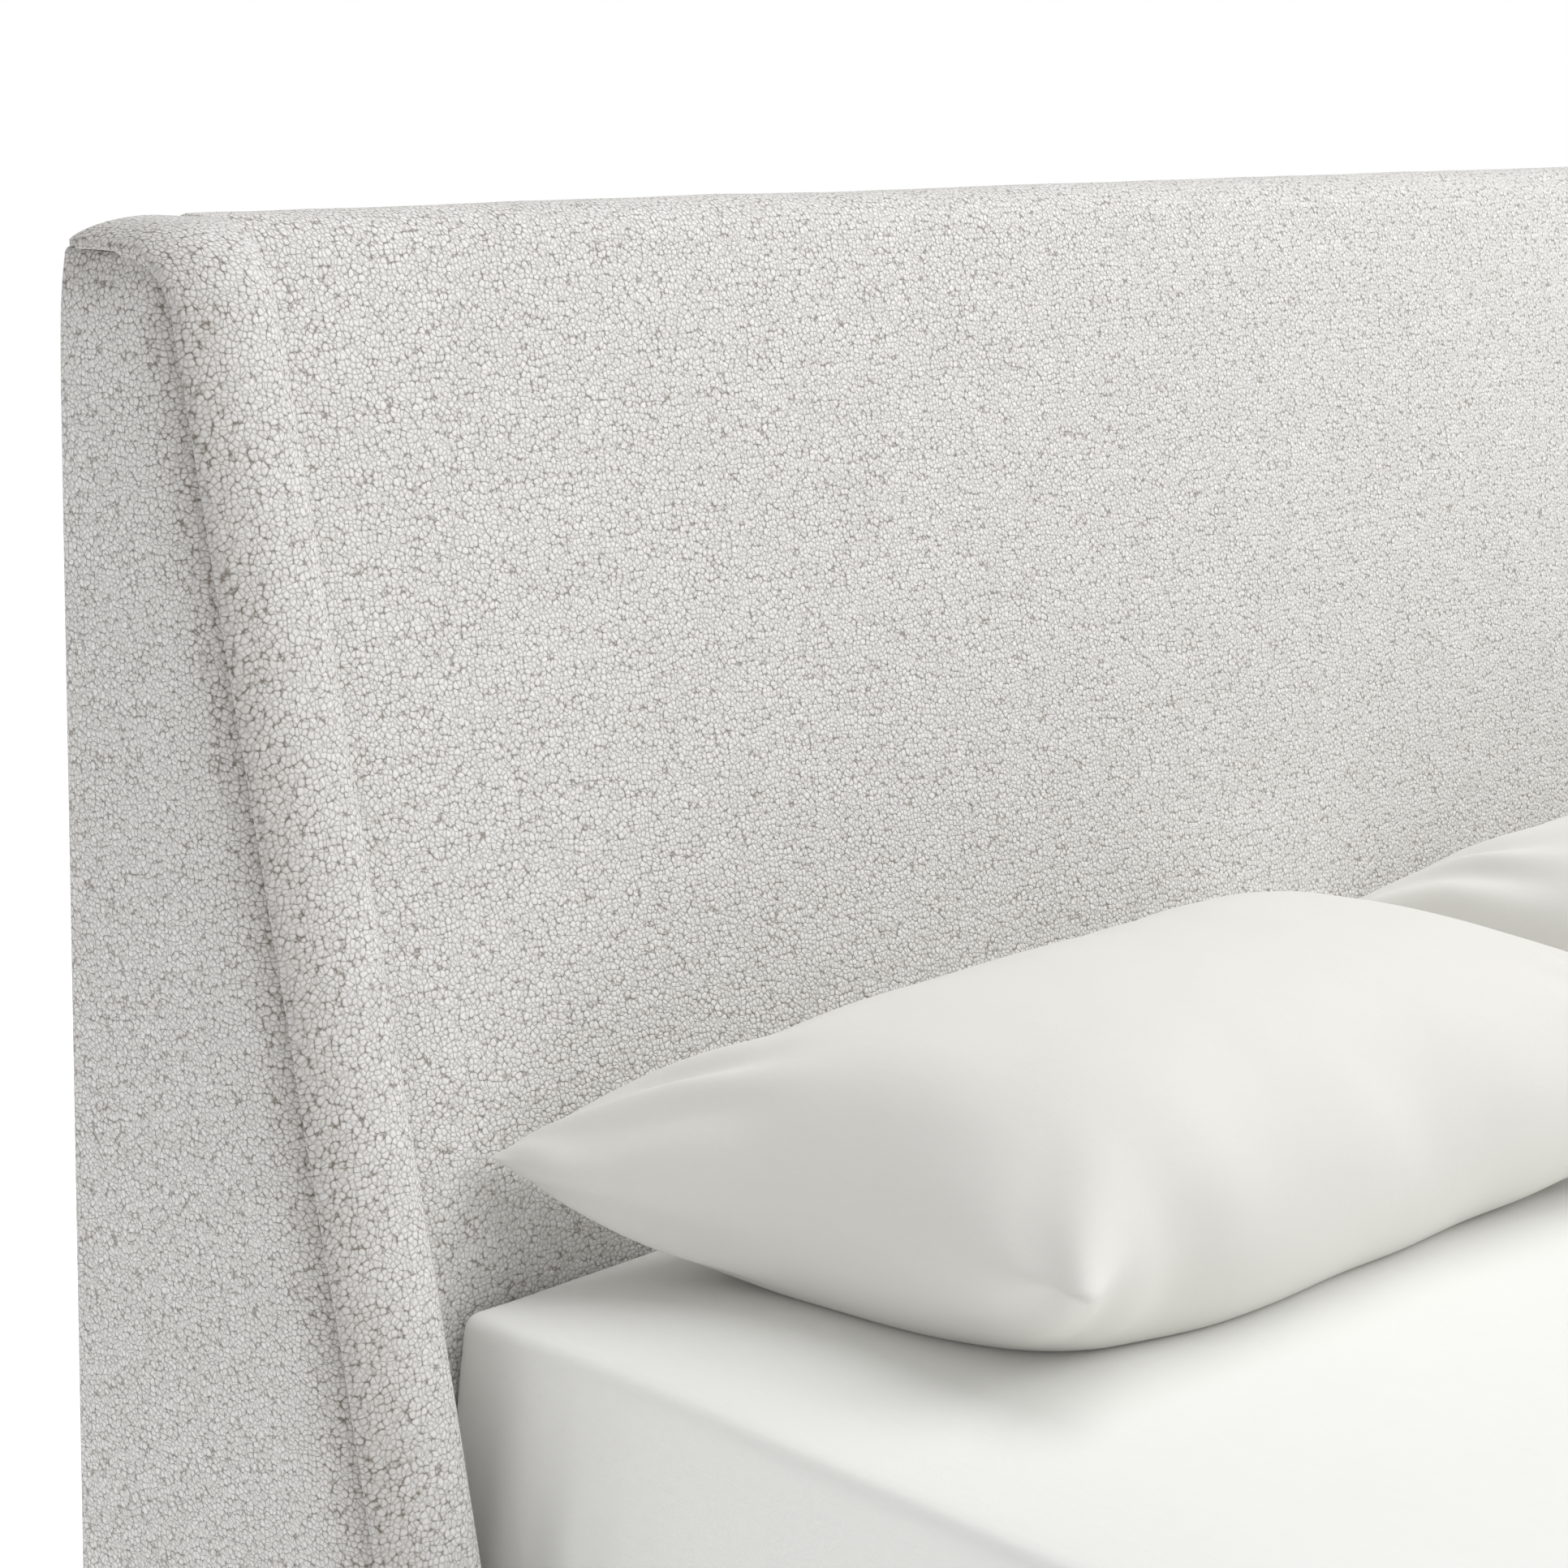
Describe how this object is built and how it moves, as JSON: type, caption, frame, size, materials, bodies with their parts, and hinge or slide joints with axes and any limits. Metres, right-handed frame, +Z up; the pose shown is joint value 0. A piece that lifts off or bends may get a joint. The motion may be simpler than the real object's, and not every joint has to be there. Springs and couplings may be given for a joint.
{
  "type": "upholstered headboard bed",
  "caption": "Queen bed with a raked, winged boucle headboard, upholstered rails, slatted deck, mattress with fitted sheet and pillows.",
  "frame": {"origin": "on the floor, in the middle of the bed", "axes": "+X to the right seen from the foot, +Y towards the headboard, +Z up"},
  "size_m": [1.734, 2.274, 1.152],
  "materials": {
    "boucle_upholstery": "knobbly woven boucle in warm off-white",
    "back_cloth": "thin matte non-woven cloth",
    "foam": "open-cell upholstery foam",
    "wadding": "soft polyester wadding",
    "plywood": "sanded birch plywood",
    "frame_pine": "planed pine, unfinished",
    "slat_pine": "sanded pine slats, unfinished",
    "slat_tape": "woven webbing tape",
    "leg_oak": "oiled oak, satin",
    "plated_steel": "zinc-plated pressed steel",
    "zinc_fasteners": "bright zinc plate",
    "black_steel": "black powder coat",
    "black_nylon": "moulded nylon",
    "sheet_cotton": "smooth white cotton sheet",
    "pillowcase_cotton": "smooth off-white cotton percale",
    "pillow_filling": "soft fibre filling",
    "mattress_ticking": "quilted mattress ticking"
  },
  "bodies": {
    "bed_frame": {"beam_hangers": "plated_steel", "beam_screws": "zinc_fasteners", "bracket_bolts": "zinc_fasteners", "centre_beam": "frame_pine", "corner_block_left": "frame_pine", "corner_block_right": "frame_pine", "corner_brackets": "plated_steel", "face_board_lower": "plywood", "face_board_upper": "plywood", "foot_leg_bolts": "zinc_fasteners", "foot_leg_glides": "black_nylon", "foot_leg_left": "leg_oak", "foot_leg_right": "leg_oak", "foot_rail_core": "frame_pine", "foot_rail_cover": "boucle_upholstery", "foot_rail_foam": "foam", "headboard_back_cloth": "back_cloth", "headboard_bottom_rail": "frame_pine", "headboard_cover": "boucle_upholstery", "headboard_foam": "foam", "headboard_glides": "black_nylon", "headboard_middle_rail": "frame_pine", "headboard_post_left": "frame_pine", "headboard_post_right": "frame_pine", "headboard_ribs": "plywood", "headboard_top_rail": "frame_pine", "ledge_screws": "zinc_fasteners", "rail_block_left": "frame_pine", "rail_block_right": "frame_pine", "side_rail_core_left": "frame_pine", "side_rail_core_right": "frame_pine", "side_rail_cover_left": "boucle_upholstery", "side_rail_cover_right": "boucle_upholstery", "side_rail_foam_left": "foam", "side_rail_foam_right": "foam", "slat_ledge_left": "frame_pine", "slat_ledge_right": "frame_pine", "slat_screws": "zinc_fasteners", "slat_tapes": "slat_tape", "slats": "slat_pine", "support_leg_foot": "black_steel", "support_leg_head": "black_steel", "support_leg_inserts": "black_nylon", "wing_cover_left": "boucle_upholstery", "wing_cover_right": "boucle_upholstery", "wing_foam_left": "foam", "wing_foam_right": "foam", "wing_frame_left": "plywood", "wing_frame_right": "plywood", "wing_wadding_left": "wadding", "wing_wadding_right": "wadding"},
    "mattress": {"mattress_core": "mattress_ticking", "fitted_sheet": "sheet_cotton"},
    "pillow_left": {"pillow_insert_left": "pillow_filling", "pillowcase_left": "pillowcase_cotton"},
    "pillow_right": {"pillow_insert_right": "pillow_filling", "pillowcase_right": "pillowcase_cotton"},
    "glide_head": {"levelling_glide_head": "black_nylon"},
    "glide_foot": {"levelling_glide_foot": "black_nylon"}
  },
  "joints": [
    {"name": "mattress_lift", "type": "slide", "parent": "bed_frame", "child": "mattress", "axis": [0, 0, 1], "range_m": [0, 0.4]},
    {"name": "pillow_left_lift", "type": "slide", "parent": "mattress", "child": "pillow_left", "axis": [0, 0, 1], "range_m": [0, 0.3]},
    {"name": "pillow_right_lift", "type": "slide", "parent": "mattress", "child": "pillow_right", "axis": [0, 0, 1], "range_m": [0, 0.3]},
    {"name": "glide_head_level", "type": "slide", "parent": "bed_frame", "child": "glide_head", "axis": [0, 0, 1], "range_m": [-0.01, 0.012]},
    {"name": "glide_foot_level", "type": "slide", "parent": "bed_frame", "child": "glide_foot", "axis": [0, 0, 1], "range_m": [-0.01, 0.012]}
  ]
}
